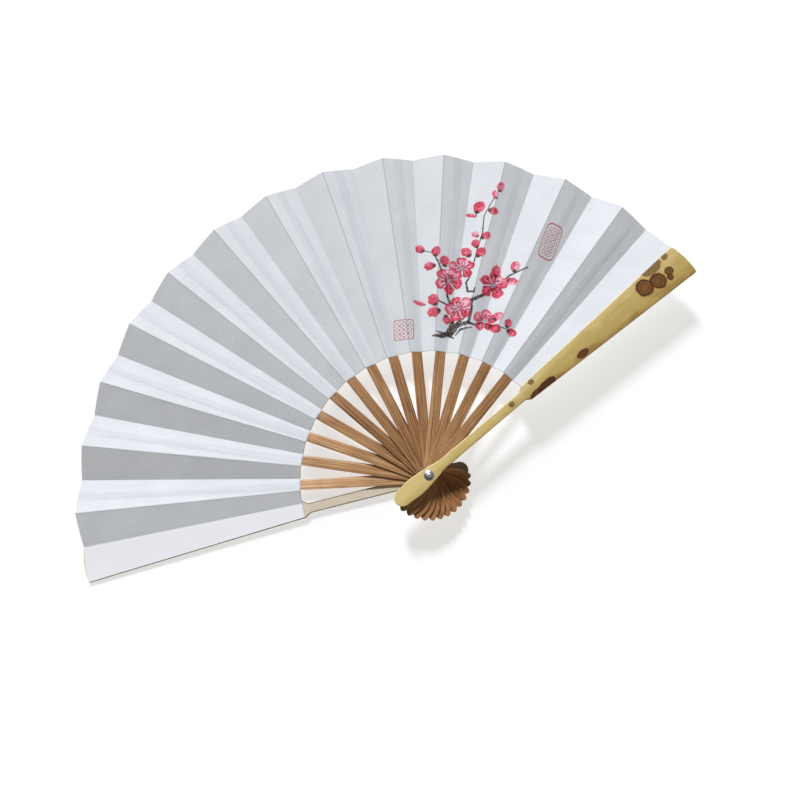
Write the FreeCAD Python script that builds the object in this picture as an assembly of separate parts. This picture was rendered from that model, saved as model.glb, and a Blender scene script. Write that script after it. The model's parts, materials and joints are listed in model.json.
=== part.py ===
import FreeCAD, Part
import math
import os

from FreeCAD import Placement, Rotation, Vector

# A folding hand fan, lying open: two bamboo guards, thirteen ribs between them, a rivet that they
# all turn on, and a pleated two-layer paper leaf. Millimetres and degrees. The rivet's axis is Z,
# the rear guard's outer face is z = 0, and +Y runs along the middle rib.

# ---- the fan ----
STICKS = 15                 # both guards and the ribs between them
REAR, FRONT = 0, STICKS - 1
STICK_GAP = 11.0            # from one stick to the next, fan open
FOLD_GAP = STICK_GAP / 2    # from one fold of the leaf to the next, seen from above
LEAF_INNER, LEAF_OUTER = 104.0, 285.0

# ---- the stack on the rivet, from the rear guard up ----
GUARD_T = 4.0
RIB_T = 1.1
STICK_CLEARANCE = 0.15      # between neighbouring sticks
PITCH = RIB_T + STICK_CLEARANCE
RIBS_TOP = GUARD_T + (STICKS - 2) * PITCH + STICK_CLEARANCE
STACK_T = RIBS_TOP + GUARD_T

# ---- a stick's head, behind the rivet ----
HEAD_REACH = 33.5           # from the rivet to the head's end
HEAD_ROUND = 26.0           # from the rivet to where the head's round end starts
HEAD_ROUND_HALF = 6.8
HEAD_HALF = 7.7             # half of the head's greatest width
HEAD_WIDEST = 16.0
SHOULDER, SHOULDER_HALF = 7.0, 7.1      # the head's flank, from the rivet and half across
WAIST = 5.0                 # beyond the rivet, where the flank is half-way to the neck's width
RIB_HEAD_SHARE = 0.93       # a rib's head is this much of a guard's in width

# ---- a guard in front of the rivet ----
NECK_HALF = 3.9
NECK_START, NECK_END = 17.0, 99.0
BLADE_START, BLADE_START_HALF = 103.5, 6.75
GUARD_TIP, GUARD_CORNER, GUARD_TIP_HALF = 283.5, 281.9, 14.8
TIP_ROUND = 2.0
GUARD_EDGE = 0.6            # rounding round the outer face
THINNING_START, GUARD_TIP_T = 12.0, 1.6     # its inner face slopes down to the tip

# ---- a rib in front of the rivet ----
RIB_HALF = 4.4
TWIST_START = 30.0
BLADE_END = 103.6
BLADE_END_T = 0.8
SLIP_ROOT, SLIP_END = 102.7, 272.0
SLIP_T = 0.25
SLIP_ROOT_W, SLIP_END_W = 4.0, 2.6

# ---- the leaf ----
PANEL_TILT = 18.0           # a rib panel's turn about its rib, from fan closed to fan open
SLIP_TILT = 6.0             # a slip is stiff here, so it lies between its open and closed tilt
SHEET_T = 0.15              # one layer of paper
POCKET_T = 0.9              # between the layers of a rib panel, where the slip lies
FOLD_CLEARANCE = 0.35       # from a fold to the panel's edge
SEAT_LIFT = 0.25            # from a guard's inner face to the middle of the panel pasted on it

# ---- the rivet ----
PIN_R = 1.5
HOLE_R = 1.55
RECESS_R, RECESS_DEPTH = 3.8, 1.3
REAR_HEAD_R, REAR_HEAD_T, REAR_HEAD_FLOOR = 3.2, 0.8, 0.1
WASHER_R, WASHER_T = 3.5, 0.35
ROSETTE_R, ROSETTE_T = 4.1, 1.25
ROSETTE_GAP = 0.05          # above the front guard
PETALS, FLUTE_R = 10, 0.55
BUTTON_R, BUTTON_T = 1.7, 0.75


def stick_angle(k):
    """The angle from +X of stick k, fan open."""
    return 90.0 + STICK_GAP * ((STICKS - 1) / 2 - k)


def rib_level(k):
    """The height of the middle of rib k."""
    return GUARD_T + STICK_CLEARANCE + RIB_T / 2 + (k - 1) * PITCH


def on_stick(shape, k, level=0.0):
    """The shape, drawn along +X, turned onto stick k and lifted to a level."""
    turned = shape.copy()
    turn = Placement(Vector(0, 0, level), Rotation(Vector(0, 0, 1), stick_angle(k)))
    turned.Placement = turn * shape.Placement
    return turned


def cross_section(reach, width, thick, tilt, lift=0.0):
    """A rectangle across +X at a reach, tilted about +X and lifted along its own normal."""
    turn = Rotation(Vector(1, 0, 0), tilt)
    corners = [(-1, -1), (1, -1), (1, 1), (-1, 1)]
    points = [
        Vector(reach, 0, 0) + turn.multVec(Vector(0, a * width / 2, lift + b * thick / 2))
        for a, b in corners
    ]
    return Part.makePolygon(points + points[:1])


def strip(sections):
    """A solid ruled through rectangular sections."""
    return Part.makeLoft(sections, True, True)


def cylinder(radius, bottom, top):
    return Part.makeCylinder(radius, top - bottom, Vector(0, 0, bottom))


def side_curve(points):
    """A smooth curve through points that leaves and arrives along the stick."""
    curve = Part.BSplineCurve()
    along = Vector(1, 0, 0)
    curve.interpolate(Points=points, InitialTangent=along, FinalTangent=along)
    return curve.toShape()


def mirrored(edge):
    """The edge on the stick's other side."""
    return edge.mirror(Vector(0, 0, 0), Vector(0, 1, 0))


def outline(share, neck_start, neck_half, far_side, tip):
    """A stick's outline: a club head of a share of the full width, then the edges of one side
    from the neck on, mirrored, and the edge that closes the tip."""
    round_half = HEAD_ROUND_HALF * share
    end = Part.Arc(
        Vector(-HEAD_ROUND, -round_half, 0),
        Vector(-HEAD_REACH, 0, 0),
        Vector(-HEAD_ROUND, round_half, 0),
    ).toShape()
    flank = side_curve([
        Vector(-HEAD_ROUND, round_half, 0),
        Vector(-HEAD_WIDEST, HEAD_HALF * share, 0),
        Vector(-SHOULDER, SHOULDER_HALF * share, 0),
        Vector(WAIST, (SHOULDER_HALF * share + neck_half) / 2, 0),
        Vector(neck_start, neck_half, 0),
    ])
    side = [flank] + far_side
    edges = [end] + side + [mirrored(edge) for edge in side] + [tip]
    return Part.Wire(Part.__sortEdges__(edges))


def line(start, end):
    return Part.makeLine(Vector(*start), Vector(*end))


def guard_thickness(reach):
    """A guard's thickness beyond where it starts to thin."""
    share = (reach - THINNING_START) / (GUARD_TIP - THINNING_START)
    return GUARD_T + share * (GUARD_TIP_T - GUARD_T)


def guard():
    """A guard along +X, its outer face on z = 0 and its inner face up."""
    side = [
        line((NECK_START, NECK_HALF, 0), (NECK_END, NECK_HALF, 0)),
        line((NECK_END, NECK_HALF, 0), (BLADE_START, BLADE_START_HALF, 0)),
        line((BLADE_START, BLADE_START_HALF, 0), (GUARD_CORNER, GUARD_TIP_HALF, 0)),
    ]
    tip = Part.Arc(
        Vector(GUARD_CORNER, GUARD_TIP_HALF, 0),
        Vector(GUARD_TIP, 0, 0),
        Vector(GUARD_CORNER, -GUARD_TIP_HALF, 0),
    ).toShape()
    wire = outline(1.0, NECK_START, NECK_HALF, side, tip)
    solid = Part.Face(wire).extrude(Vector(0, 0, GUARD_T))
    corners = [
        edge for edge in solid.Edges
        if edge.BoundBox.ZLength > GUARD_T / 2 and edge.CenterOfMass.x > GUARD_CORNER - 1
    ]
    solid = solid.makeFillet(TIP_ROUND, corners)
    outer = [edge for edge in solid.Edges if edge.BoundBox.ZMax < GUARD_T / 2]
    solid = solid.makeFillet(GUARD_EDGE, outer)
    profile = [
        (THINNING_START, GUARD_T),
        (GUARD_TIP + 1, guard_thickness(GUARD_TIP + 1)),
        (GUARD_TIP + 1, GUARD_T + 1),
        (THINNING_START, GUARD_T + 1),
    ]
    points = [Vector(x, -2 * GUARD_TIP_HALF, z) for x, z in profile]
    relief = Part.Face(Part.makePolygon(points + points[:1]))
    solid = solid.cut(relief.extrude(Vector(0, 4 * GUARD_TIP_HALF, 0)))
    return solid.cut(cylinder(HOLE_R, -1, GUARD_T + 1))


def rear_guard():
    """The guard on which the fan rests, with a recess for the rivet's rear head."""
    return on_stick(guard().cut(cylinder(RECESS_R, -1, RECESS_DEPTH)), REAR)


def front_guard():
    """The same guard turned over, on top of the stack."""
    flipped = guard()
    flipped.rotate(Vector(0, 0, GUARD_T / 2), Vector(1, 0, 0), 180)
    return on_stick(flipped, FRONT, STACK_T - GUARD_T)


def rib():
    """A rib along +X: head, a blade that twists to the leaf's tilt, and a thin slip."""
    neck_start = NECK_START + 2
    side = [line((neck_start, RIB_HALF, 0), (TWIST_START, RIB_HALF, 0))]
    tip = line((TWIST_START, RIB_HALF, 0), (TWIST_START, -RIB_HALF, 0))
    wire = outline(RIB_HEAD_SHARE, neck_start, RIB_HALF, side, tip)
    head = Part.Face(wire).extrude(Vector(0, 0, RIB_T))
    head.translate(Vector(0, 0, -RIB_T / 2))
    steps = 4
    sections = []
    for i in range(steps + 1):
        share = i / steps
        reach = TWIST_START + share * (BLADE_END - TWIST_START)
        thick = RIB_T + share * (BLADE_END_T - RIB_T)
        sections.append(cross_section(reach, 2 * RIB_HALF, thick, share * leaf_slope(BLADE_END)))
    slip = strip([
        cross_section(SLIP_ROOT, SLIP_ROOT_W, SLIP_T, SLIP_TILT),
        cross_section(SLIP_END, SLIP_END_W, SLIP_T, SLIP_TILT),
    ])
    whole = head.fuse(strip(sections)).fuse(slip).removeSplitter()
    return whole.cut(cylinder(HOLE_R, -RIB_T, RIB_T))


def fold_point(k, side, reach):
    """A point on the fold beside stick k: side 1 is its mountain, side -1 its valley. The two
    folds pass the rivet's axis half a pitch apart, so that the mountain of one rib and the
    valley of the rib under it meet there. Those on a guard lie on its inner face."""
    on_guard = k in (REAR, FRONT)
    tilt = math.radians(0.0 if on_guard else PANEL_TILT)
    half = math.atan(math.tan(math.radians(FOLD_GAP / 2)) / math.cos(tilt))
    along, out = reach * math.cos(half), side * reach * math.sin(half)
    if k == REAR:
        level = guard_thickness(along) + SEAT_LIFT
    elif k == FRONT:
        level = STACK_T - guard_thickness(along) - SEAT_LIFT
    else:
        level = rib_level(k) - side * PITCH / 2 + out * math.sin(tilt)
    point = Vector(along, out * math.cos(tilt), level)
    return Rotation(Vector(0, 0, 1), stick_angle(k)).multVec(point)


def fold(k, side):
    """The inner and outer ends of a fold."""
    return [fold_point(k, side, reach) for reach in (LEAF_INNER, LEAF_OUTER)]


def leaf_slope(reach):
    """A rib panel's slope across its rib at a reach, fan open, in degrees."""
    across = fold_point(1, 1, reach) - fold_point(1, -1, reach)
    return math.degrees(math.asin(across.z / across.Length))


def sheet(valley, mountain, lift, thick):
    """A layer of the leaf between two folds, clear of both."""
    sections = []
    for near, far in zip(valley, mountain):
        across = (far - near).normalize()
        up = (valley[1] - valley[0]).cross(across).normalize()
        first, last = near + across * FOLD_CLEARANCE, far - across * FOLD_CLEARANCE
        low, high = up * (lift - thick / 2), up * (lift + thick / 2)
        corners = [first + low, last + low, last + high, first + high]
        sections.append(Part.makePolygon(corners + corners[:1]))
    return strip(sections)


def rib_panel(k):
    """The leaf over stick k. Over a rib it is two layers with the slip between them; on a guard
    both layers are pasted down as one."""
    if k in (REAR, FRONT):
        layers = [(0.0, 2 * SHEET_T)]
    else:
        layers = [(side * (POCKET_T + SHEET_T) / 2, SHEET_T) for side in (-1, 1)]
    return Part.makeCompound([sheet(fold(k, -1), fold(k, 1), *layer) for layer in layers])


def free_panel(k):
    """The leaf between sticks k and k + 1, its two layers pasted together."""
    return sheet(fold(k, -1), fold(k + 1, 1), 0.0, 2 * SHEET_T)


def dome(radius, bottom, height):
    """A flat-bottomed cap of a sphere."""
    sphere_r = (radius ** 2 + height ** 2) / (2 * height)
    ball = Part.makeSphere(sphere_r, Vector(0, 0, bottom + height - sphere_r))
    return ball.common(cylinder(radius, bottom, bottom + height))


def rivet_pin():
    """The pin with its flat rear head, sunk in the rear guard's recess."""
    head = cylinder(REAR_HEAD_R, REAR_HEAD_FLOOR, REAR_HEAD_FLOOR + REAR_HEAD_T)
    top = STACK_T + ROSETTE_GAP + ROSETTE_T
    return head.fuse(cylinder(PIN_R, REAR_HEAD_FLOOR, top)).removeSplitter()


def rivet_washer():
    bottom = REAR_HEAD_FLOOR + REAR_HEAD_T
    ring = cylinder(WASHER_R, bottom, bottom + WASHER_T)
    return ring.cut(cylinder(HOLE_R, 0, GUARD_T))


def rivet_rosette():
    """The domed washer on the front guard, fluted into petals."""
    bottom = STACK_T + ROSETTE_GAP
    cap = dome(ROSETTE_R, bottom, ROSETTE_T)
    cap = cap.cut(cylinder(HOLE_R, bottom - 1, bottom + 2 * ROSETTE_T))
    for i in range(PETALS):
        turn = Rotation(Vector(0, 0, 1), 360.0 * i / PETALS)
        start = turn.multVec(Vector(ROSETTE_R * 0.5, 0, 0)) + Vector(0, 0, bottom + 1.35 * ROSETTE_T)
        run = turn.multVec(Vector(ROSETTE_R * 0.7, 0, -ROSETTE_T * 0.9))
        cap = cap.cut(Part.makeCylinder(FLUTE_R, run.Length, start, run))
    return cap


def rivet_button():
    """The pin's peened end, over the rosette."""
    return dome(BUTTON_R, STACK_T + ROSETTE_GAP + ROSETTE_T, BUTTON_T)


def main():
    os.makedirs("parts", exist_ok=True)
    parts = {
        "rear_guard": rear_guard(),
        "front_guard": front_guard(),
        "rivet_pin": rivet_pin(),
        "rivet_rear_washer": rivet_washer(),
        "rivet_front_rosette": rivet_rosette(),
        "rivet_front_button": rivet_button(),
    }
    one_rib = rib()
    for k in range(REAR + 1, FRONT):
        parts[f"rib_{k:02d}"] = on_stick(one_rib, k, rib_level(k))
    for k in range(STICKS):
        parts[f"leaf_rib_panel_{k:02d}"] = rib_panel(k)
    for k in range(STICKS - 1):
        parts[f"leaf_free_panel_{k:02d}"] = free_panel(k)
    for name, shape in parts.items():
        shape.exportStep(f"parts/{name}.step")
        print(name, shape.isValid(), len(shape.Solids), round(shape.Volume, 2))


main()
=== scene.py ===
import json
import math

import bmesh
import bpy
from mathutils import Matrix, Vector, noise


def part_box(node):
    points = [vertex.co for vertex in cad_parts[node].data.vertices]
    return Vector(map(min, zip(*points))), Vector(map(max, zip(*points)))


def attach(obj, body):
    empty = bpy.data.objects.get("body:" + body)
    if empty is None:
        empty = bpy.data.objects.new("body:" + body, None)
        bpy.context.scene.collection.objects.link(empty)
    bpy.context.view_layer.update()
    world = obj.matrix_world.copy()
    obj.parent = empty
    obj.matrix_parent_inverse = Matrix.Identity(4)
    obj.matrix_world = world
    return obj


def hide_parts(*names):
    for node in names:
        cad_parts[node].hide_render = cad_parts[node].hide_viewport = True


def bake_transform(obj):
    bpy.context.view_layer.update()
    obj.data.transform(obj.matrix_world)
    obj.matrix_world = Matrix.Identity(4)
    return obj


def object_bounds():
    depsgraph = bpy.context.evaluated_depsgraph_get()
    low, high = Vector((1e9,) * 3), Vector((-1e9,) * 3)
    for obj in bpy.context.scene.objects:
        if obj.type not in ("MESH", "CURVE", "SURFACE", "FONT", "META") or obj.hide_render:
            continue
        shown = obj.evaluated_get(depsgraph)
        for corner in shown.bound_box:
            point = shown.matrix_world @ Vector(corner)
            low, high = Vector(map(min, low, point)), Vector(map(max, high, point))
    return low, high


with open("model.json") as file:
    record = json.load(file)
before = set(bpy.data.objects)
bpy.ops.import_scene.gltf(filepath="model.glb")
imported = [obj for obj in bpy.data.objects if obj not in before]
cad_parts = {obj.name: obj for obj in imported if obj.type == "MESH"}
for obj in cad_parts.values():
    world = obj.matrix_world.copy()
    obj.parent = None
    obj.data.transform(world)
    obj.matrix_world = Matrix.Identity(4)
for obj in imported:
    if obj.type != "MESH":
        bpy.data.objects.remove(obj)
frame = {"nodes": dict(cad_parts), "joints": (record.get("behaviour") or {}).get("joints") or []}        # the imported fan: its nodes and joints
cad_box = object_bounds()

# A folding hand fan, lying open. Metres and radians in the fan's own frame: the rivet's axis is Z,
# the rear guard's outer face is z = 0, and +Y runs along the middle rib.

MM = 0.001

# ---- the fan, read from the frame ----
JOINTS = {joint["name"]: joint for joint in frame["joints"]}
STICKS = 15
REAR, FRONT = 0, STICKS - 1
RIBS = range(REAR + 1, FRONT)
STICK_GAP = math.radians(JOINTS["fan_swing"]["range_deg"][1]) / (STICKS - 1)
FOLD_GAP = STICK_GAP / 2
STACK_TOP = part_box("front_guard")[1].z
GUARD_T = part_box("rear_guard")[1].z

# ---- guards ----
GUARD_TIP, GUARD_TIP_T = 283.5 * MM, 1.6 * MM
THINNING_START = 12 * MM            # a guard's inner face slopes from here to the tip
NECK_END, NECK_HALF = 99 * MM, 3.9 * MM
SHOULDER_END, SHOULDER_END_HALF = 103.5 * MM, 6.75 * MM
GUARD_CORNER, GUARD_CORNER_HALF = 281.9 * MM, 14.8 * MM
SHOULDER_SLOPE = (SHOULDER_END_HALF - NECK_HALF) / (SHOULDER_END - NECK_END)
FLANK_SLOPE = (GUARD_CORNER_HALF - SHOULDER_END_HALF) / (GUARD_CORNER - SHOULDER_END)

# ---- ribs ----
HEAD_END = -34.6 * MM
HEAD_OUTLINE = [                    # reach and half width, from the round end to the blade
    (reach * MM, half * MM) for reach, half in (
        (-31.4, 3.3), (-27.0, 5.8), (-22.0, 7.1), (-17.0, 7.4),
        (-12.0, 6.9), (-5.0, 6.0), (3.0, 5.4), (17.0, 4.4))
]
HEAD_START_SLOPE = 0.58             # the flank's slope where the round end meets it
HEAD_ROUND, HEAD_ROUND_HALF = HEAD_OUTLINE[0]
BLADE_START, RIB_HALF = HEAD_OUTLINE[-1]
BLADE_END = 103.6 * MM
RIB_T, RIB_END_T = 1.1 * MM, 0.8 * MM       # at its head, and where the shaving starts
TWIST_START = 30 * MM               # from here to its end a blade twists into the leaf's slope
SHAVED_START = 97 * MM              # from here on a blade is shaved down to its slip
SLIP_START, SLIP_END = 105 * MM, 272 * MM
SLIP_T, SLIP_HALF, SLIP_END_HALF = 0.25 * MM, 2.0 * MM, 1.3 * MM
RIB_EDGE = 0.22 * MM                # rounding along a rib's edges
HOLE_R, HOLE_SIDES = 1.55 * MM, 40
HEAD_STEPS, BLADE_STEPS, SHOULDER_STEPS, SLIP_STEPS = 28, 60, 8, 24

# ---- leaf ----
LEAF_INNER, LEAF_OUTER = 104 * MM, 285 * MM
LEAF_END_OUTER = 282.4 * MM         # its two ends are trimmed level with the guards' tips
LEAF_MARGIN = 0.6 * MM              # from its ends to the guards' edges
PANEL_TURN = math.radians(18)       # a rib panel's turn about its rib, closed to open
FOLD_TURN = math.radians(16)        # half of the bend at a fold, fan open
PAPER_HALF = 0.09 * MM
SEAT_LIFT = 0.25 * MM               # of the paper's middle off the guard that it is pasted on
DRAPE, DRAPE_RISE = 3.4 * MM, 0.2 * MM      # width and height of the paper's slope beside a slip
DRAPE_INSET = 0.5 * MM              # it starts this far inside the slip's edge
DRAPE_END = 5 * MM                  # and fades out over this length past the slip's end
RIPPLE, RIB_RIPPLE = 0.1 * MM, 0.03 * MM    # heights of the paper's waves, and over a slip
BROAD_WAVES, CLOSE_WAVES = 22, 60   # in a metre
CLOSE_SHARE = 0.8                   # the close waves' height, in shares of the broad ones'
BAND = 5 * MM                       # half of a finely divided strip along a panel's middle
BAND_STEPS, EDGE_STEPS = 10, 5      # from the middle to the strip's edge, and on to the fold
ROW_STEP = 4 * MM

# ---- the painting: its own axes, in millimetres from the foot of the branch ----
PAINTING_FOOT = Vector((65.5 * MM, 99.2 * MM))
PAINTING_TURN = math.radians(-27)
BLOSSOM_PETALS, BLOSSOM_STAMENS = 5, 11
PETAL_CENTRE, PETAL_RADIUS = 0.58, 0.43     # in shares of the flower's radius
BRUSH_ROOM = 1.45                   # a mark's ragged edge stays within this many radii

# ---- camera and light ----
CAMERA_PLACE = (-36.7 * MM, -38.0 * MM, 516.5 * MM)
CAMERA_TURN = (0.2218, 0.0147, -0.4710)
LENS, SENSOR = 28.28, 36.0          # mm inside the camera
SUN_AZIMUTH, SUN_FROM_ZENITH = math.radians(79), math.radians(58)
SUN_STRENGTH, SUN_WIDTH, SUN_COLOUR = 3.98, math.radians(10), (0.905, 0.921, 1.0)
WALL_TOP, CEILING_EDGE = 0.35, 0.49         # sines of their heights above the horizon
FLOOR_SIDES, FLOOR_RADIUS, FLOOR_GAP = 96, 4.0, 0.1 * MM
FLOOR_GLOW, FLOOR_GLOW_COLOUR = 0.66, (1.0, 0.99, 0.965, 1.0)

SHARP_ANGLE = math.radians(35)      # a bend between faces that shows as an edge


def smooth(value, low, high):
    """0 at low and 1 at high, with a smooth step between."""
    share = min(1.0, max(0.0, (value - low) / (high - low)))
    return share * share * (3 - 2 * share)


def mix(share, first, last):
    return first + (last - first) * share


# ================================ the fan's own lines ================================

def stick_angle(k):
    """The direction of stick k from the rivet, fan open. Stick 0 is the rear guard."""
    return math.pi / 2 + STICK_GAP * ((STICKS - 1) / 2 - k)


def rib_level(k):
    """The height of the middle of rib k's thickness."""
    return JOINTS[f"rib_panel_tilt_{k:02d}"]["pos_m"][2]


PITCH = rib_level(2) - rib_level(1)     # from each rib to the next one up


def turned(point, k):
    """A point drawn along +X, turned onto stick k."""
    return Matrix.Rotation(stick_angle(k), 4, "Z") @ point


def guard_thickness(reach):
    share = (reach - THINNING_START) / (GUARD_TIP - THINNING_START)
    return mix(share, GUARD_T, GUARD_TIP_T)


def guard_half(reach):
    """Half of a guard's width where it lies on the leaf."""
    return SHOULDER_END_HALF + (reach - SHOULDER_END) * FLANK_SLOPE


def fold_point(k, side, reach):
    """A point on the fold beside stick k: side 1 is its mountain, side -1 its valley. The leaf's
    two ends have no fold, and stop just inside the guards' edges."""
    on_guard = k in (REAR, FRONT)
    tilt = 0.0 if on_guard else PANEL_TURN
    half = math.atan(math.tan(FOLD_GAP / 2) / math.cos(tilt))
    along, out = reach * math.cos(half), side * reach * math.sin(half)
    if (k, side) in ((REAR, 1), (FRONT, -1)):
        out = side * (guard_half(along) - LEAF_MARGIN)
    if k == REAR:
        level = guard_thickness(along) + SEAT_LIFT
    elif k == FRONT:
        level = STACK_TOP - guard_thickness(along) - SEAT_LIFT
    else:
        level = rib_level(k) - side * PITCH / 2 + out * math.sin(tilt)
    return turned(Vector((along, out * math.cos(tilt), level)), k)


def leaf_slope(reach):
    """A rib panel's slope across its rib at a reach, fan open."""
    across = fold_point(1, 1, reach) - fold_point(1, -1, reach)
    return math.asin(across.z / across.length)


# ================================ shader building ================================

def light(red, green, blue):
    """A colour in linear light, from its values on a screen."""
    return tuple(((value / 255 + 0.055) / 1.055) ** 2.4 for value in (red, green, blue)) + (1.0,)


def add_node(tree, kind, inputs=(), **settings):
    """A shader node with its settings, and its inputs set or linked by name or number."""
    made = tree.nodes.new("ShaderNode" + kind)
    for name, value in settings.items():
        setattr(made, name, value)
    for key, value in dict(inputs).items():
        socket = value.socket if isinstance(value, Field) else value
        if isinstance(socket, bpy.types.NodeSocket):
            tree.links.new(socket, made.inputs[key])
        else:
            made.inputs[key].default_value = socket
    return made


class Field:
    """A number that varies over a surface. Arithmetic on it adds math nodes to its tree."""

    def __init__(self, tree, socket):
        self.tree = tree
        self.socket = socket

    def math(self, operation, *others):
        made = add_node(self.tree, "Math", enumerate((self, *others)), operation=operation)
        return Field(self.tree, made.outputs[0])

    def __add__(self, other):
        return self.math("ADD", other)

    def __sub__(self, other):
        return self.math("SUBTRACT", other)

    def __mul__(self, other):
        return self.math("MULTIPLY", other)

    def __truediv__(self, other):
        return self.math("DIVIDE", other)

    def size(self):
        return self.math("ABSOLUTE")

    def length_with(self, other):
        return (self * self + other * other).math("SQRT")

    def larger(self, other):
        return self.math("MAXIMUM", other)

    def smaller(self, other):
        return self.math("MINIMUM", other)

    def ramp(self, low, high):
        """0 at low and 1 at high, with a smooth step between. Low may be the larger."""
        inputs = {0: self, 1: low, 2: high}
        made = add_node(self.tree, "MapRange", inputs, interpolation_type="SMOOTHSTEP")
        return Field(self.tree, made.outputs[0])


def vector(x, y, z=0.0):
    return add_node(x.tree, "CombineXYZ", {"X": x, "Y": y, "Z": z}).outputs[0]


def cloud(place, scale, detail=2.0):
    """Soft noise about 0."""
    tree = place.id_data
    made = add_node(tree, "TexNoise", {"Vector": place, "Scale": scale, "Detail": detail})
    return Field(tree, made.outputs[0]) - 0.5


def over(share, below, colour):
    """A colour laid over another by a share."""
    inputs = {0: share, 6: below, 7: colour}
    return add_node(share.tree, "Mix", inputs, data_type="RGBA").outputs[2]


def frame_place(tree):
    """The place on the surface in the fan's frame at rest, in millimetres."""
    place = add_node(tree, "TexCoord").outputs["Object"]
    inputs = {0: place, "Scale": 1 / MM}
    return add_node(tree, "VectorMath", inputs, operation="SCALE").outputs[0]


def coordinates(tree, place):
    """The three coordinates of a place or a direction."""
    parts = add_node(tree, "SeparateXYZ", {0: place})
    return [Field(tree, output) for output in parts.outputs]


def along_axes(tree, place, turn, origin=(0.0, 0.0)):
    """A place's two coordinates along axes turned about Z, from an origin given in millimetres."""
    across, up, _ = coordinates(tree, place)
    x, y = across - origin[0], up - origin[1]
    cos, sin = math.cos(turn), math.sin(turn)
    return x * cos + y * sin, y * cos - x * sin


def bumps(height, distance, strength=1.0):
    """A normal from a height; distance is in metres."""
    inputs = {"Height": height, "Distance": distance, "Strength": strength}
    return add_node(height.tree, "Bump", inputs).outputs[0]


def facing_up(tree):
    """How far the surface faces up the fan's own Z, from -1 to 1."""
    return coordinates(tree, add_node(tree, "TexCoord").outputs["Normal"])[2]


def new_material(name):
    """A material, its tree and its principled shader."""
    made = bpy.data.materials.new(name)
    made.use_nodes = True
    return made, made.node_tree, made.node_tree.nodes["Principled BSDF"]


def link(tree, output, shader, name):
    tree.links.new(output.socket if isinstance(output, Field) else output, shader.inputs[name])


# ================================ motifs, painted over a colour ================================

def start_motif(name, words):
    """A node group with a Paint colour, a place X, Y in millimetres and named numbers."""
    tree = bpy.data.node_groups.new(name, "ShaderNodeTree")
    tree.interface.new_socket("Paint", in_out="INPUT", socket_type="NodeSocketColor")
    for word in ("X", "Y", *words):
        tree.interface.new_socket(word, in_out="INPUT", socket_type="NodeSocketFloat")
    tree.interface.new_socket("Paint", in_out="OUTPUT", socket_type="NodeSocketColor")
    given = tree.nodes.new("NodeGroupInput")
    fields = {word: Field(tree, given.outputs[word]) for word in ("X", "Y", *words)}
    return tree, given.outputs["Paint"], fields


def end_motif(tree, paint):
    result = tree.nodes.new("NodeGroupOutput")
    tree.links.new(paint, result.inputs["Paint"])
    return tree


def local_axes(at):
    """The place in a motif's own turned axes, in shares of its radius."""
    x = (at["X"] - at["CentreX"]) / at["Radius"]
    y = (at["Y"] - at["CentreY"]) / at["Radius"]
    cos, sin = at["Turn"].math("COSINE"), at["Turn"].math("SINE")
    return x * cos + y * sin, y * cos - x * sin


CRIMSON, ROSE, BLUSH = light(206, 34, 66), light(230, 90, 118), light(246, 190, 206)
STAMEN, CALYX = light(92, 22, 58), light(44, 50, 40)
INK, PALE_INK = light(38, 32, 32), light(120, 100, 92)
SEAL_RED = light(196, 76, 84)
STAIN_HALO, STAIN, STAIN_RIM = light(176, 120, 62), light(134, 86, 48), light(66, 34, 24)


def stamens(x, y, ragged, uneven):
    """Where an open flower's threads and their anthers are, from 0 to 1."""
    reach = x.length_with(y)
    bent_angle = y.math("ARCTAN2", x) + ragged * 0.5 + uneven * 0.6
    thread_angle = bent_angle.math("PINGPONG", math.pi / BLOSSOM_STAMENS)
    from_thread = reach * thread_angle.math("SINE")
    thread_end = uneven * 0.5 + 0.55
    thread = from_thread.ramp(0.034, 0.014) * reach.ramp(0.03, 0.08)
    thread = thread * (reach / thread_end).ramp(1.0, 0.9)
    anther = (reach * thread_angle.math("COSINE") - thread_end).length_with(from_thread)
    return thread.larger(anther.ramp(0.085, 0.05))


def blossom_motif():
    """An open flower in watercolour: round petals parted by seams, with darker rims, and stamens."""
    words = ("CentreX", "CentreY", "Radius", "Turn", "Pale")
    tree, paint, at = start_motif("blossom", words)
    x, y = local_axes(at)
    ragged = cloud(vector(x, y, at["Turn"]), 2.6, 3.0)
    uneven = cloud(vector(x, y, at["CentreX"]), 0.9, 1.0)
    reach = x.length_with(y)
    half_petal = math.pi / BLOSSOM_PETALS
    petal_angle = y.math("ARCTAN2", x).math("PINGPONG", half_petal)
    along, aside = reach * petal_angle.math("COSINE"), reach * petal_angle.math("SINE")
    from_petal = (along - PETAL_CENTRE).length_with(aside * 1.05) / PETAL_RADIUS
    from_petal = from_petal + ragged * 0.75 + uneven * 0.9
    seam = reach * (petal_angle * -1 + half_petal).math("SINE") + ragged * 0.12
    cover = from_petal.ramp(1.1, 0.9) * seam.ramp(0.01, 0.06) * reach.ramp(0.06, 0.26)
    depth = from_petal.ramp(0.2, 1.05) * 0.5 + uneven * 1.9 + ragged * 1.3 + 0.3 - at["Pale"]
    colour = over(depth.ramp(0.35, 0.8), over(depth.ramp(-0.15, 0.4), BLUSH, ROSE), CRIMSON)
    paint = over(cover * 0.95, paint, colour)
    rim = from_petal.ramp(0.82, 0.97) * from_petal.ramp(1.1, 1.0) * seam.ramp(0.0, 0.03)
    paint = over(rim * (uneven + 0.45), paint, CRIMSON)
    return end_motif(tree, over(stamens(x, y, ragged, uneven) * 0.9, paint, STAMEN))


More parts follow.
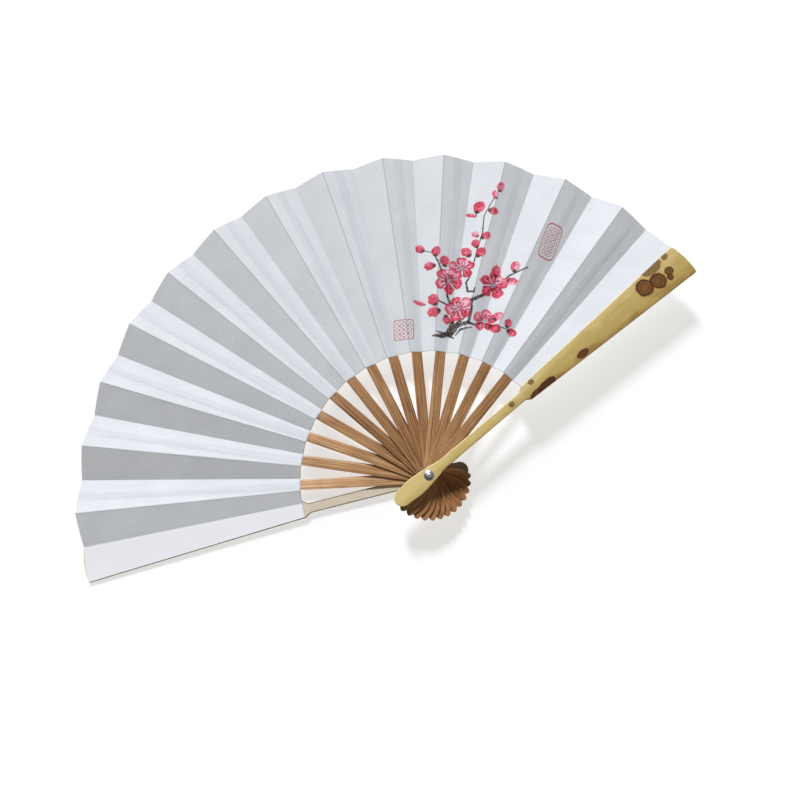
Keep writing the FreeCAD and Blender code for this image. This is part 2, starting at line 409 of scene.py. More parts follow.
def bud_motif():
    """A bud or a single petal seen from the side, with a dark calyx at its foot."""
    words = ("CentreX", "CentreY", "Radius", "Turn", "Length", "Pale")
    tree, paint, at = start_motif("bud", words)
    x, y = local_axes(at)
    ragged = cloud(vector(x, y, at["CentreX"]), 1.8, 3.0)
    along = x / at["Length"]
    reach = along.length_with(y) + ragged * 0.8
    depth = y * 0.3 + ragged * 1.9 + reach * 0.3 + 0.3 - at["Pale"]
    colour = over(depth.ramp(0.2, 0.7), over(depth.ramp(-0.2, 0.25), BLUSH, ROSE), CRIMSON)
    paint = over(reach.ramp(1.08, 0.88) * 0.95, paint, colour)
    fork = y.size() * 0.5 + (x + at["Length"] * 0.9).size() * 0.8 + ragged * 0.6
    return end_motif(tree, over(fork.ramp(0.42, 0.22) * 0.9, paint, CALYX))


def stroke_motif():
    """A tapering brush stroke of ink."""
    words = ("FromX", "FromY", "ToX", "ToY", "FromHalf", "ToHalf")
    tree, paint, at = start_motif("stroke", words)
    run_x, run_y = at["ToX"] - at["FromX"], at["ToY"] - at["FromY"]
    x, y = at["X"] - at["FromX"], at["Y"] - at["FromY"]
    share = (x * run_x + y * run_y) / (run_x * run_x + run_y * run_y)
    share = share.larger(0.0).smaller(1.0)
    off = (x - share * run_x).length_with(y - share * run_y)
    half = at["FromHalf"] + share * (at["ToHalf"] - at["FromHalf"])
    ragged = cloud(vector(at["X"], at["Y"]), 0.7, 4.0)
    edge = off / half + ragged * 1.5
    dry = cloud(vector(at["X"], at["Y"], 9.0), 0.9, 5.0).ramp(-0.04, 0.16)
    colour = over(dry, INK, PALE_INK)
    return end_motif(tree, over(edge.ramp(1.12, 0.85) * (dry * -0.25 + 0.95), paint, colour))


def seal_motif():
    """A red stamp: a round-cornered border round a trellis with a stud in every cell."""
    words = ("CentreX", "CentreY", "Radius", "Turn", "Length", "Corner")
    tree, paint, at = start_motif("seal", words)
    x, y = local_axes(at)
    across, along = x.size(), y.size() / at["Length"]
    power = at["Corner"]
    sum_of_powers = across.math("POWER", power) + along.math("POWER", power)
    reach = sum_of_powers.math("POWER", power.math("POWER", -1.0))
    worn = cloud(vector(at["X"], at["Y"]), 0.9, 4.0)
    border = reach.ramp(0.87, 0.91) * reach.ramp(1.0, 0.96)
    rising, falling = (x + y).math("PINGPONG", 0.4), (x - y).math("PINGPONG", 0.4)
    bar = rising.smaller(falling).ramp(0.07, 0.04)
    stud = (rising - 0.4).length_with(falling - 0.4).ramp(0.16, 0.12)
    mark = border.larger(bar.larger(stud) * reach.ramp(0.82, 0.78)) * worn.ramp(-0.24, 0.0)
    return end_motif(tree, over(mark * 0.85, paint, SEAL_RED))


def mottle_motif():
    """A brown stain in bamboo skin, ringed, and darkest round its rim."""
    words = ("CentreX", "CentreY", "Radius", "Turn", "Length", "Strength", "Ringed")
    tree, paint, at = start_motif("mottle", words)
    x, y = local_axes(at)
    ragged = cloud(vector(x, y, at["CentreX"]), 1.3, 4.0)
    reach = (x / at["Length"]).length_with(y) + ragged * 0.55
    paint = over(reach.ramp(1.3, 0.95) * at["Strength"] * 0.3, paint, STAIN_HALO)
    ring = reach.ramp(0.34, 0.46) * reach.ramp(0.62, 0.5) * 0.6
    depth = reach.ramp(0.55, 0.9).larger(ring).larger(at["Ringed"] * -1 + 1)
    colour = over(depth * 0.9 + ragged * 0.5, STAIN, STAIN_RIM)
    return end_motif(tree, over(reach.ramp(1.02, 0.93) * at["Strength"] * 0.95, paint, colour))


MOTIFS = {
    "blossom": blossom_motif(),
    "bud": bud_motif(),
    "stroke": stroke_motif(),
    "seal": seal_motif(),
    "mottle": mottle_motif(),
}


def put_motif(tree, paint, x, y, kind, sizes):
    """One motif over a colour, its named numbers given."""
    made = tree.nodes.new("ShaderNodeGroup")
    made.node_tree = MOTIFS[kind]
    tree.links.new(paint, made.inputs["Paint"])
    tree.links.new(x.socket, made.inputs["X"])
    tree.links.new(y.socket, made.inputs["Y"])
    for word, value in sizes.items():
        made.inputs[word].default_value = value
    return made.outputs["Paint"]


# ================================ the painting ================================

def stroke_run(*points):
    """Strokes from point to point; a point is x, y and half width."""
    return [
        ("stroke", dict(FromX=a[0], FromY=a[1], ToX=b[0], ToY=b[1], FromHalf=a[2], ToHalf=b[2]))
        for a, b in zip(points, points[1:])
    ]


def blossom(x, y, radius, turn, pale=0.0):
    sizes = dict(CentreX=x, CentreY=y, Radius=radius, Turn=math.radians(turn), Pale=pale)
    return "blossom", sizes


def bud(x, y, radius, turn, length=1.15, pale=0.0):
    """A bud that points along its turn, in degrees."""
    sizes = dict(CentreX=x, CentreY=y, Radius=radius, Turn=math.radians(turn), Length=length)
    return "bud", {**sizes, "Pale": pale}


def seal(x, y, radius, turn, length, corner):
    sizes = dict(CentreX=x, CentreY=y, Radius=radius, Turn=math.radians(turn), Length=length)
    return "seal", {**sizes, "Corner": corner}


PAINTING = [
    # the old branch at the foot
    *stroke_run((-9, -1, 0.7), (-2, -1, 2.0), (6, 1, 2.6), (12, 8, 2.1), (21, 10, 1.5), (27, 8, 0.6)),
    *stroke_run((-6, 3, 0.4), (1, 1, 1.2), (8, -3, 0.8)),
    *stroke_run((6, 5, 1.0), (14, 12, 1.3), (19, 15, 0.5)),
    *stroke_run((10, -1, 0.4), (14, 4, 1.0), (24, 6, 0.4)),
    *stroke_run((4, 2, 2.0), (8, 11, 1.6), (9, 22, 1.2)),
    # its shoots
    *stroke_run((9, 20, 1.2), (4, 34, 1.0), (3, 48, 0.9), (-4, 66, 0.8), (-9, 76, 0.5)),
    *stroke_run((24, 30, 1.6), (33, 34, 1.4), (44, 41, 1.2), (57, 52, 0.9), (72, 58, 0.6)),
    *stroke_run((21, 10, 1.1), (24, 22, 1.0), (24, 30, 1.2)),
    *stroke_run((24, 53, 0.7), (20, 46, 0.9), (21, 38, 1.0), (26, 37, 0.9), (27, 41, 0.5)),
    *stroke_run((26, 60, 0.6), (30, 76, 0.5), (35, 91, 0.6), (37, 108, 0.5), (45, 122, 0.5), (51, 132, 0.4)),
    *stroke_run((30, 10, 0.8), (42, 7, 0.7), (52, 4, 0.5)),
    *stroke_run((-4, 30, 0.8), (3, 27, 0.9), (9, 24, 1.0)),
    *stroke_run((-8, 74, 0.4), (-16, 77, 0.4)),
    # open flowers
    blossom(17, 60, 11.0, 20, 0.1),
    blossom(5, 48, 12.0, 58),
    blossom(43, 44, 12.5, 5, 0.05),
    blossom(13, 23, 11.5, 36, 0.05),
    blossom(35, 12, 10.0, 80, 0.15),
    # buds and half-open flowers
    bud(52, 134, 3.4, 75, 1.4, 0.25),
    bud(47, 127, 2.6, 100, 1.7, 0.45),
    bud(33, 117, 5.0, 70),
    bud(26, 110, 2.0, 160, 2.4, 0.1),
    bud(45, 111, 3.6, -20),
    bud(38, 88, 3.6, 20),
    bud(29, 91, 3.0, 130, 1.1, 0.5),
    bud(29, 82, 3.6, 110),
    bud(21, 75, 4.3, 120),
    bud(33, 73, 4.1, 55),
    bud(-19, 79, 3.6, 140),
    bud(-5, 75, 3.9, 80),
    bud(-11, 62, 3.9, 175),
    bud(2, 66, 4.2, 95),
    bud(46, 57, 4.2, 85, 1.2, 0.1),
    bud(62, 60, 4.1, 75, 1.2, 0.3),
    bud(59, 46, 3.6, -25, 1.2, 0.3),
    bud(-8, 31, 4.6, 115),
    bud(-8, 20, 4.6, 195),
    bud(-20, 29, 1.9, 160, 2.9, 0.1),
    bud(3, 13, 3.6, -70, 1.1, 0.1),
    bud(46, 15, 3.9, 40, 1.1, 0.35),
    bud(43, 4, 4.2, -30),
    bud(54, 9, 3.3, 70),
    bud(57, 1, 3.6, -20),
    # stamps
    seal(-33, 5, 8.8, 2, 1.04, 12.0),
    seal(92.9, 82.4, 7.8, -21, 2.22, 4.2),
]


def mark_circle(kind, sizes):
    """A mark's centre and the radius that it reaches, in the painting's millimetres."""
    if kind == "stroke":
        start, end = (sizes["FromX"], sizes["FromY"]), (sizes["ToX"], sizes["ToY"])
        centre = Vector(((start[0] + end[0]) / 2, (start[1] + end[1]) / 2))
        half = math.dist(start, end) / 2
        return centre, half + 2 * max(sizes["FromHalf"], sizes["ToHalf"])
    longest = sizes["Radius"] * max(1.0, sizes.get("Length", 1.0))
    return Vector((sizes["CentreX"], sizes["CentreY"])), longest * BRUSH_ROOM


def marks_between(first_angle, last_angle):
    """The marks that touch the part of the leaf between two angles, in the order of painting."""
    middle = (first_angle + last_angle) / 2
    spread = abs(first_angle - last_angle) / 2
    near = []
    for mark in PAINTING:
        centre, reach = mark_circle(*mark)
        place = PAINTING_FOOT + Matrix.Rotation(PAINTING_TURN, 2) @ centre * MM
        off = abs(math.atan2(place.y, place.x) - middle) - spread
        if place.length * math.sin(max(0.0, off)) < reach * MM:
            near.append(mark)
    return near


# ================================ materials ================================

PAPER = (light(222, 224, 224), light(239, 241, 241))
# The end pasted on the rear guard is painted whiter than the rest: painted light.
PASTED_PAPER_PAINTED_LIGHT = (light(248, 249, 249), light(254, 254, 254))
SLIP_SHADE_GREY, RIDGE_SHADE_GREY, INNER_EDGE_SHADE = light(206, 209, 214), light(132, 133, 130), light(120, 112, 100)


def slip_shadow(tree, place, k):
    """How strongly the band of painted shade along rib k's slip shows on the paper."""
    reach, side = along_axes(tree, place, stick_angle(k))
    uneven = cloud(vector(reach * 0.02, side * 0.4, 5.0 * k), 1.0, 2.0)
    return side.size().ramp(5.2, 2.2) * (uneven * 0.8 + 0.32)


def painted(tree, paint, place, marks):
    """Marks of the painting over a colour."""
    foot = (PAINTING_FOOT.x / MM, PAINTING_FOOT.y / MM)
    u, v = along_axes(tree, place, PAINTING_TURN, foot)
    for kind, sizes in marks:
        paint = put_motif(tree, paint, u, v, kind, sizes)
    return paint


def paper_material(name, marks, slip_k, at_rear_end=False):
    """White two-layer paper with long fibres, a thin line of painted shade along each ridge, and the
    marks painted on it. A soft grey band of painted shade runs along each slip. The end on the rear
    guard is whiter, as painted light, and has no ridge line."""
    material, tree, shader = new_material(name)
    place = frame_place(tree)
    x, y = along_axes(tree, place, 0.0)
    blotch = cloud(place, 0.045, 3.0)
    fibre = cloud(vector(x * 0.35, y * 1.6), 1.1, 4.0)
    cross_fibre = cloud(vector(x * 1.7 + 40.0, y * 0.4), 1.0, 4.0)
    grain = fibre + cross_fibre
    tone = blotch * 0.5 + grain * 0.7
    low, high = PASTED_PAPER_PAINTED_LIGHT if at_rear_end else PAPER
    paint = over(tone.ramp(-0.35, 0.35), low, high)
    if slip_k is not None:
        # A soft grey band of painted shade along the rib's slip.
        paint = over(slip_shadow(tree, place, slip_k), paint, SLIP_SHADE_GREY)
    if marks:
        paint = painted(tree, paint, place, marks)
    from_rivet = x.length_with(y)
    if not at_rear_end:
        # Painted shade: a thin grey line along each mountain fold.
        turn = y.math("ARCTAN2", x) - (stick_angle(FRONT) + FOLD_GAP / 2)
        from_ridge = turn.math("PINGPONG", STICK_GAP / 2) * from_rivet
        paint = over(from_ridge.ramp(0.8, 0.15) * 0.4, paint, RIDGE_SHADE_GREY)
    # A thin line of painted shade along the leaf's inner edge.
    paint = over(from_rivet.ramp(105.0, 104.3) * 0.35, paint, INNER_EDGE_SHADE)
    link(tree, paint, shader, "Base Color")
    shader.inputs["Roughness"].default_value = 0.86
    shader.inputs["Specular IOR Level"].default_value = 0.25
    link(tree, bumps(grain + cloud(place, 3.5, 2.0) * 0.5, 0.06 * MM, 0.8), shader, "Normal")
    return material


GUARD_MARKS = [     # reach, side and radius in mm, turn in degrees, length, strength, how ringed
    (254.4, 14.4, 7.8, -5, 1.45, 0.72, 0.3),
    (270.8, 12.6, 2.9, 40, 1.2, 0.68, 0.0),
    (238.6, 2.8, 7.8, 10, 1.02, 1.0, 1.0),
    (251.3, 0.1, 7.0, -10, 1.02, 1.0, 1.0),
    (264.4, 0.6, 3.8, 0, 1.1, 1.0, 0.8),
    (261.4, -4.0, 2.9, 30, 1.0, 1.0, 0.4),
    (160.0, -5.3, 3.1, 0, 1.9, 1.0, 0.3),
    (111.6, 4.2, 2.2, 0, 1.25, 0.7, 0.2),
    (87.4, 0.4, 2.2, 0, 1.2, 0.75, 0.5),
    (107.5, -5.8, 2.9, 14, 2.0, 1.0, 0.0),
    (119.5, -5.7, 3.9, 3, 2.7, 1.0, 0.0),
]


SKIN_BROWN, SKIN_OCHRE, SKIN_CREAM = light(157, 120, 62), light(203, 176, 104), light(232, 208, 140)
WOOD_GREY, WOOD_CREAM, HEAD_SHADE_WOOD = light(210, 193, 164), light(244, 231, 205), light(112, 92, 60)
RIM_SHADE, CUT_EDGE_SHADE = light(84, 58, 42), light(92, 62, 42)


def guard_skin(reach, side, streak, marks):
    """The colour of ochre bamboo skin with its stains, and painted light and shade across it: lighter
    towards its upper edge and darker towards its lower edge.
    """
    blotch = cloud(vector(reach * 0.05, side * 0.12, 7.0), 1.0, 3.0)
    widest = reach.ramp(90.0, 280.0) * 7.0 + 6.5
    handle = reach.ramp(150.0, 40.0) * 0.25 + reach.ramp(25.0, -10.0) * 0.2
    # side / widest paints light and shade across the skin: lighter at one edge, darker at the other.
    tone = side / widest * 0.4 + streak * 0.6 + blotch * 0.7 + handle + 0.56
    skin = over(tone.ramp(0.0, 0.5), SKIN_BROWN, SKIN_OCHRE)
    skin = over(tone.ramp(0.5, 1.05), skin, SKIN_CREAM)
    for along, aside, radius, turn, length, strength, ringed in marks:
        sizes = dict(CentreX=along, CentreY=aside, Radius=radius, Turn=math.radians(turn))
        sizes.update(Length=length, Strength=strength, Ringed=ringed)
        skin = put_motif(reach.tree, skin, reach, side, "mottle", sizes)
    return skin


def guard_wood(reach, side, streak, fine):
    """The colour of raw wood, with painted shade that darkens it towards its head and along its rim."""
    wood = over((fine * 1.2 + streak * 0.6).ramp(-0.35, 0.3), WOOD_GREY, WOOD_CREAM)
    # Painted shade: darker towards the head.
    wood = over(reach.ramp(12.0, -14.0) * 0.8, wood, HEAD_SHADE_WOOD)
    shoulder = (reach - NECK_END / MM) * SHOULDER_SLOPE + NECK_HALF / MM
    flank = (reach - SHOULDER_END / MM) * FLANK_SLOPE + SHOULDER_END_HALF / MM
    half = shoulder.smaller(flank).larger(NECK_HALF / MM)
    # Painted shade: a dark line along the rim of the wood face.
    rim = (half - side.size()).ramp(0.85, 0.45) * reach.ramp(16.0, 24.0)
    return over(rim * 0.85, wood, RIM_SHADE)


def guard_material(name, k, skin_up, marks):
    """A bamboo guard: glossy skin outside, pale raw wood inside and cut edges darkened by painted shade."""
    material, tree, shader = new_material(name)
    reach, side = along_axes(tree, frame_place(tree), stick_angle(k))
    streak = cloud(vector(reach * 0.012, side * 0.9, 3.0 * k), 1.0, 5.0)
    fine = cloud(vector(reach * 0.05, side * 5.0, 3.0 * k), 1.0, 4.0)
    facing_out = facing_up(tree) * (1 if skin_up else -1)
    skinned = facing_out.ramp(0.1, 0.5)
    wood = guard_wood(reach, side, streak, fine)
    colour = over(skinned, wood, guard_skin(reach, side, streak, marks))
    # Painted shade on the cut edges.
    cut_edge = facing_out.size().ramp(0.7, 0.3)
    colour = over(cut_edge * (fine * 0.8 + 0.75), colour, CUT_EDGE_SHADE)
    link(tree, colour, shader, "Base Color")
    link(tree, skinned * -0.22 + 0.55 + fine * 0.1, shader, "Roughness")
    shader.inputs["Specular IOR Level"].default_value = 0.45
    link(tree, bumps(fine * 0.5 + streak, 0.08 * MM, 0.7), shader, "Normal")
    return material


# How light each rib's bamboo is, from the one beside the rear guard on.
RIB_TONES = (0.35, 0.1, 0.12, -0.04, -0.2, -0.07, -0.07, -0.12, -0.07, 0.03, 0.05, 0.0, 0.03)

BAMBOO_DARK, BAMBOO, BAMBOO_PALE = light(112, 72, 42), light(180, 133, 86), light(226, 186, 138)
HEAD_AMBER, BLADE_EDGE_SHADE, HEAD_EDGE_SHADE_AND_STAIN = light(166, 92, 38), light(98, 60, 36), light(48, 28, 16)


def rib_material(k):
    """Stained bamboo with straight grain, redder at its head, and dark along its edges: painted shade
    on the blade, painted shade and stain on the head. The UV map holds the reach and the side of each
    point on its rib, in metres."""
    material, tree, shader = new_material(f"stained_bamboo_{k:02d}")
    along, across, _ = coordinates(tree, add_node(tree, "UVMap", uv_map="grain").outputs[0])
    reach, side = along / MM, across / MM
    streak = cloud(vector(reach * 0.012, side * 1.1, 7.0 * k), 1.0, 3.0)
    fine = cloud(vector(reach * 0.03, side * 2.2, 7.0 * k), 1.0, 2.0)
    blotch = cloud(vector(reach * 0.06, side * 0.15, 7.0 * k), 1.0, 2.0)
    tone = streak * 2.1 + fine * 1.6 + blotch * 0.6 + RIB_TONES[k - 1]
    colour = over(tone.ramp(-0.6, 0.05), BAMBOO_DARK, BAMBOO)
    colour = over(tone.ramp(0.05, 0.65), colour, BAMBOO_PALE)
    head = reach.ramp(8.0, -22.0)
    colour = over(head * 0.2, colour, HEAD_AMBER)
    # The side faces are darkened: painted shade along the blade, painted shade and stain on the head.
    cut_edge = facing_up(tree).size().ramp(0.75, 0.35)
    edge_colour = over(head, BLADE_EDGE_SHADE, HEAD_EDGE_SHADE_AND_STAIN)
    link(tree, over(cut_edge * 0.8, colour, edge_colour), shader, "Base Color")
    link(tree, fine * 0.15 + 0.42, shader, "Roughness")
    shader.inputs["Specular IOR Level"].default_value = 0.4
    link(tree, bumps(fine * 0.6 + streak, 0.07 * MM, 0.6), shader, "Normal")
    return material


ROSETTE_PETALS = 10
DULL_METAL, BRIGHT_METAL, FLUTE_SHADE = light(178, 180, 186), light(232, 234, 238), light(70, 66, 66)


def rivet_material():
    """Bright metal, finely scratched, with painted shade in the hollows between the rosette's petals."""
    material, tree, shader = new_material("rivet_metal")
    place = frame_place(tree)
    scratch = cloud(place, 6.0, 4.0)
    dull = cloud(place, 1.2, 2.0)
    x, y = along_axes(tree, place, 0.0)
    flute = y.math("ARCTAN2", x).math("PINGPONG", math.pi / ROSETTE_PETALS).ramp(0.16, 0.05)
    outside = x.length_with(y).ramp(1.7, 2.2)
    colour = over(dull.ramp(-0.2, 0.2), DULL_METAL, BRIGHT_METAL)
    # Painted shade in the hollows between the rosette's petals.
    colour = over(flute * outside * 0.75, colour, FLUTE_SHADE)
    link(tree, colour, shader, "Base Color")
    shader.inputs["Metallic"].default_value = 1.0
    link(tree, scratch * 0.3 + 0.38, shader, "Roughness")
    link(tree, bumps(scratch, 0.02 * MM, 0.5), shader, "Normal")
    return material


def floor_material():
    """Pale matt paper, lit a little from within so that it looks like an even backdrop."""
    material, tree, shader = new_material("floor")
    shade = cloud(frame_place(tree), 0.004, 2.0)
    colour = over(shade.ramp(-0.5, 0.5), light(172, 172, 172), light(178, 178, 178))
    link(tree, colour, shader, "Base Color")
    shader.inputs["Roughness"].default_value = 0.95
    shader.inputs["Specular IOR Level"].default_value = 0.1
    shader.inputs["Emission Color"].default_value = FLOOR_GLOW_COLOUR
    shader.inputs["Emission Strength"].default_value = FLOOR_GLOW
    return material


# ================================ making pieces ================================

def new_object(name, data):
    """An object in the scene, from its mesh, light or camera."""
    made = bpy.data.objects.new(name, data)
    bpy.context.scene.collection.objects.link(made)
    return made


def new_mesh(name, form):
    """A mesh from its finished bmesh."""
    mesh = bpy.data.meshes.new(name)
    form.to_mesh(mesh)
    form.free()
    return mesh


def new_piece(name, mesh, material):
    """An object from a mesh, smooth but for its sharp edges."""
    mesh.materials.clear()
    mesh.materials.append(material)
    mesh.shade_smooth()
    mesh.set_sharp_from_angle(angle=SHARP_ANGLE)
    piece = new_object(name, mesh)
    return piece


def mesh_of_rows(name, rows):
    """A mesh from rows of points that each go round a closed section, capped at both ends."""
    form = bmesh.new()
    rings = [[form.verts.new(point) for point in row] for row in rows]
    count = len(rows[0])
    for near, far in zip(rings, rings[1:]):
        for i in range(count):
            form.faces.new((near[i], near[(i + 1) % count], far[(i + 1) % count], far[i]))
    form.faces.new(rings[0])
    form.faces.new(rings[-1])
    bmesh.ops.recalc_face_normals(form, faces=form.faces)
    return new_mesh(name, form)


# ================================ leaf ================================

def slip_half(reach):
    """Half of the slip's width, with the shoulder where the blade narrows."""
    shoulder = smooth(reach, BLADE_END, SLIP_START)
    share = (reach - SLIP_START) / (SLIP_END - SLIP_START)
    return mix(shoulder, RIB_HALF, mix(max(0.0, share), SLIP_HALF, SLIP_END_HALF))


def leaf_outer(k):
    return LEAF_END_OUTER if k in (REAR, FRONT) else LEAF_OUTER


def ripple(point, seed):
    """The paper's slight waves at a point, about 0."""
    broad = noise.noise(Vector((point.x * BROAD_WAVES, point.y * BROAD_WAVES, seed)))
    close = noise.noise(Vector((point.x * CLOSE_WAVES, point.y * CLOSE_WAVES, seed + 5)))
    return broad + CLOSE_SHARE * close


def slip_bulge(offset, reach):
    """How far each face of the paper is pushed out by the slip inside it."""
    beside = abs(offset) - slip_half(reach)
    bulge = DRAPE_RISE * (1 - smooth(beside, -DRAPE_INSET, DRAPE))
    return bulge * (1 - smooth(reach, SLIP_END, SLIP_END + DRAPE_END))


def section_offsets(half):
    """Places across a panel from its middle, out to its half width on both sides."""
    steps = BAND_STEPS + EDGE_STEPS
    offsets = []
    for j in range(-steps, steps + 1):
        inner = min(abs(j), BAND_STEPS) / BAND_STEPS * BAND
        outer = max(0, abs(j) - BAND_STEPS) / EDGE_STEPS * (half - BAND)
        offsets.append(math.copysign(inner + outer, j))
    return offsets


def panel_section(near, far, seed, over_slip):
    """Points across a panel's top from its valley to its mountain, and back along its underside.
    Its edges are cut to a mitre, so that neighbouring panels meet."""
    reach = near.xy.length
    half = (far - near).length / 2
    across = (far - near).normalized()
    up = near.cross(far).normalized()
    if up.z < 0:
        up = -up
    mitre = PAPER_HALF * 2 * math.tan(FOLD_TURN)
    looseness = RIB_RIPPLE if over_slip else RIPPLE
    top, under = [], []
    for offset in section_offsets(half):
        share = offset / half
        point = (near + far) / 2 + across * offset
        arc = math.cos(FOLD_GAP / 2 * share) / math.cos(FOLD_GAP / 2)
        point = Vector((point.x * arc, point.y * arc, point.z))
        lift = PAPER_HALF * share + (1 - share ** 4) * ripple(point, seed) * looseness
        bulge = slip_bulge(offset, reach) if over_slip else 0.0
        top.append(point + up * (lift + PAPER_HALF + bulge))
        under.append(point + up * (lift - PAPER_HALF - bulge))
    top[-1] += across * mitre
    under[0] -= across * mitre
    return top + under[::-1]


def panel_rows(seed, near_k, far_k, over_slip):
    """The sections of a leaf panel, from its inner edge to its outer one, between one stick's
    valley and the same or the next stick's mountain."""
    count = round((LEAF_OUTER - LEAF_INNER) / ROW_STEP)
    rows = []
    for i in range(count + 1):
        near = fold_point(near_k, -1, mix(i / count, LEAF_INNER, leaf_outer(near_k)))
        far = fold_point(far_k, 1, mix(i / count, LEAF_INNER, leaf_outer(far_k)))
        rows.append(panel_section(near, far, seed, over_slip))
    return rows


def rib_panel(k):
    """The leaf over stick k, with a raised band if the stick is a rib with a slip."""
    name = f"leaf_over_stick_{k:02d}"
    marks = marks_between(stick_angle(k) - FOLD_GAP / 2, stick_angle(k) + FOLD_GAP / 2)
    mesh = mesh_of_rows(name, panel_rows(k, k, k, k in RIBS))
    paper = paper_material(name, marks, k if k in RIBS else None, k == REAR)
    piece = new_piece(name, mesh, paper)
    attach(piece, {REAR: "rear_guard", FRONT: "front_guard"}.get(k, f"rib_panel_{k:02d}"))
    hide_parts(f"leaf_rib_panel_{k:02d}")


def free_panel(k):
    """The leaf between sticks k and k + 1."""
    name = f"leaf_after_stick_{k:02d}"
    first, last = stick_angle(k) - FOLD_GAP / 2, stick_angle(k + 1) + FOLD_GAP / 2
    marks = marks_between(first, last)
    mesh = mesh_of_rows(name, panel_rows(k + 0.5, k, k + 1, False))
    piece = new_piece(name, mesh, paper_material(name, marks, None))
    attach(piece, f"free_panel_{k:02d}")
    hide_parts(f"leaf_free_panel_{k:02d}")


# ================================ ribs ================================

def head_half(reach):
    """Half of a rib's width between the head's round end and the blade, on a smooth curve
    through the outline's points."""
    points = HEAD_OUTLINE
    chords = [(b[1] - a[1]) / (b[0] - a[0]) for a, b in zip(points, points[1:])]
    slopes = [HEAD_START_SLOPE, *((a + b) / 2 for a, b in zip(chords, chords[1:])), 0.0]
    i = next(i for i, point in enumerate(points[1:]) if reach <= point[0])
    (start, start_half), (end, end_half) = points[i:i + 2]
    run = end - start
    t = (reach - start) / run
    return (
        start_half * (1 + 2 * t) * (1 - t) ** 2 + slopes[i] * run * t * (1 - t) ** 2
        + end_half * t * t * (3 - 2 * t) - slopes[i + 1] * run * t * t * (1 - t)
    )


def rib_half(reach):
    """Half of a rib's width at a reach. The head's very end is a small flat."""
    if reach < HEAD_ROUND:
        share = (HEAD_ROUND - reach) / (HEAD_ROUND - HEAD_END)
        return HEAD_ROUND_HALF * math.sqrt(max(0.002, 1 - share))
    return head_half(reach) if reach < BLADE_START else slip_half(reach)


def rib_thickness(reach):
    """A rib's thickness at a reach: thinning along its blade, then shaved down to the slip."""
    thick = mix(smooth(reach, TWIST_START, SHAVED_START), RIB_T, RIB_END_T)
    return mix(smooth(reach, SHAVED_START, BLADE_END), thick, SLIP_T)


def divided(first, last, count):
    """The places where a stretch's equal parts start."""
    return [mix(i / count, first, last) for i in range(count)]


def rib_stations():
    """The reaches at which a rib's sections are drawn, close together where its outline turns."""
    round_end = [
        mix(math.cos(math.radians(degrees)), HEAD_ROUND, HEAD_END) for degrees in range(0, 90, 9)
    ]
    head = divided(HEAD_ROUND, BLADE_START, HEAD_STEPS)
    blade = divided(BLADE_START, BLADE_END, BLADE_STEPS)
    shoulder = divided(BLADE_END, SLIP_START, SHOULDER_STEPS)
    slip = divided(SLIP_START, SLIP_END, SLIP_STEPS)
    return [*round_end, *head, *blade, *shoulder, *slip, SLIP_END]


def rib_section(reach):
    """A round-edged section across a flat rib, with points along its faces too."""
    half, thick = rib_half(reach), rib_thickness(reach) / 2
    edge = min(RIB_EDGE, thick * 0.9, half * 0.9)
    right = []
    for degrees in (-90, -45, 0, 45, 90):
        a = math.radians(degrees)
        level = math.copysign(thick - edge, degrees)
        right.append((half - edge + edge * math.cos(a), level + edge * math.sin(a)))
    inner = half * 0.5
    ring = [(0.0, -thick), (inner, -thick), *right, (inner, thick), (0.0, thick)]
    ring += [(-y, z) for y, z in ring[::-1][1:-1]]
    return [Vector((reach, y, z)) for y, z in ring]


def rivet_drill():
    """A cylinder as wide as the rivet's hole."""
    form = bmesh.new()
    bmesh.ops.create_cone(
        form, cap_ends=True, segments=HOLE_SIDES, radius1=HOLE_R, radius2=HOLE_R, depth=4 * RIB_T)
    return new_object("drill", new_mesh("drill", form))


def flat_rib():
    """A rib along +X before it is twisted, with the rivet's hole."""
    sections = [rib_section(reach) for reach in rib_stations()]
    blank = new_object("rib_blank", mesh_of_rows("rib_blank", sections))
    drill = rivet_drill()
    cut = blank.modifiers.new("hole", "BOOLEAN")
    cut.operation = "DIFFERENCE"
    cut.object = drill
    cut.solver = "EXACT"
    graph = bpy.context.evaluated_depsgraph_get()
    mesh = bpy.data.meshes.new_from_object(blank.evaluated_get(graph))
    bpy.data.objects.remove(blank)
    bpy.data.objects.remove(drill)
    return mesh


def rib(k, flat):
    """Rib k, twisted to the leaf's slope. Its UV map is taken before the twist, so that its grain runs
    straight along it."""
    name = f"bamboo_rib_{k:02d}"
    mesh = flat.copy()
    mesh.name = name
    grain = mesh.uv_layers.new(name="grain")
    for loop in mesh.loops:
        point = mesh.vertices[loop.vertex_index].co
        grain.data[loop.index].uv = (point.x, point.y)
    for vertex in mesh.vertices:
        reach = vertex.co.x
        twist = leaf_slope(max(reach, BLADE_END)) * smooth(reach, TWIST_START, BLADE_END)
        vertex.co = Matrix.Rotation(twist, 3, "X") @ vertex.co
    mesh.transform(Matrix.Translation((0, 0, rib_level(k))) @ Matrix.Rotation(stick_angle(k), 4, "Z"))
    piece = new_piece(name, mesh, rib_material(k))
    level = Vector((0, 0, rib_level(k)))
    start = turned(Vector((TWIST_START, 0, 0)), k) + level
    end = turned(Vector((BLADE_END, 0, 0)), k) + level
    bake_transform(piece)
    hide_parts(f"rib_{k:02d}")


# ================================ stage ================================

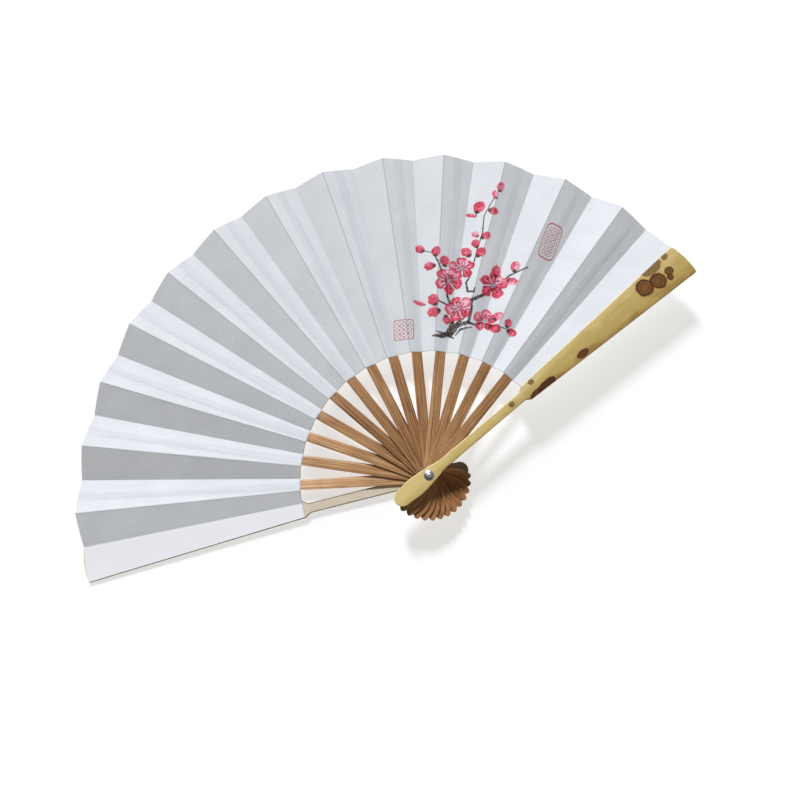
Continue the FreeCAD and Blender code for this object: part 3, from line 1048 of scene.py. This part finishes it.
def add_floor(material):
    """A round flat floor."""
    form = bmesh.new()
    bmesh.ops.create_circle(form, cap_ends=True, segments=FLOOR_SIDES, radius=FLOOR_RADIUS)
    mesh = new_mesh("floor", form)
    mesh.materials.append(material)
    floor = new_object("floor", mesh)
    floor.location.z = cad_box[0].z - FLOOR_GAP


def add_light():
    """A soft sun, low at one side, and a room with white walls and a dim ceiling."""
    sun = bpy.data.lights.new("soft_sun", "SUN")
    sun.energy = SUN_STRENGTH
    sun.angle = SUN_WIDTH
    sun.color = SUN_COLOUR
    lamp = new_object("soft_sun", sun)
    lamp.rotation_euler = (SUN_FROM_ZENITH, 0, SUN_AZIMUTH + math.pi / 2)
    world = bpy.data.worlds.new("room")
    world.use_nodes = True
    tree = world.node_tree
    height = coordinates(tree, add_node(tree, "TexCoord").outputs["Generated"])[2]
    white_wall, dim_ceiling = light(255, 254, 251), light(50, 49, 43)
    colour = over(height.ramp(WALL_TOP, CEILING_EDGE), white_wall, dim_ceiling)
    tree.links.new(colour, tree.nodes["Background"].inputs["Color"])
    tree.nodes["Background"].inputs["Strength"].default_value = 1.0
    bpy.context.scene.world = world


def add_camera():
    data = bpy.data.cameras.new("camera")
    data.lens = LENS
    data.sensor_width = SENSOR
    data.clip_start = 10 * MM
    camera = new_object("camera", data)
    camera.location = CAMERA_PLACE
    camera.rotation_euler = CAMERA_TURN
    bpy.context.scene.camera = camera


def give(node, material):
    """A carried-over CAD node's finish."""
    mesh = frame["nodes"][node].data
    mesh.materials.clear()
    mesh.materials.append(material)


# ================================ the whole ================================

add_camera()
add_light()
add_floor(floor_material())
bpy.context.scene.view_settings.view_transform = "Standard"

give("front_guard", guard_material("front_guard_skin", FRONT, True, GUARD_MARKS))
give("rear_guard", guard_material("rear_guard_skin", REAR, False, []))
metal = rivet_material()
for part in ("rivet_pin", "rivet_rear_washer", "rivet_front_rosette", "rivet_front_button"):
    give(part, metal)

one_rib = flat_rib()
for k in RIBS:
    rib(k, one_rib)
for k in range(STICKS):
    rib_panel(k)
for k in range(STICKS - 1):
    free_panel(k)
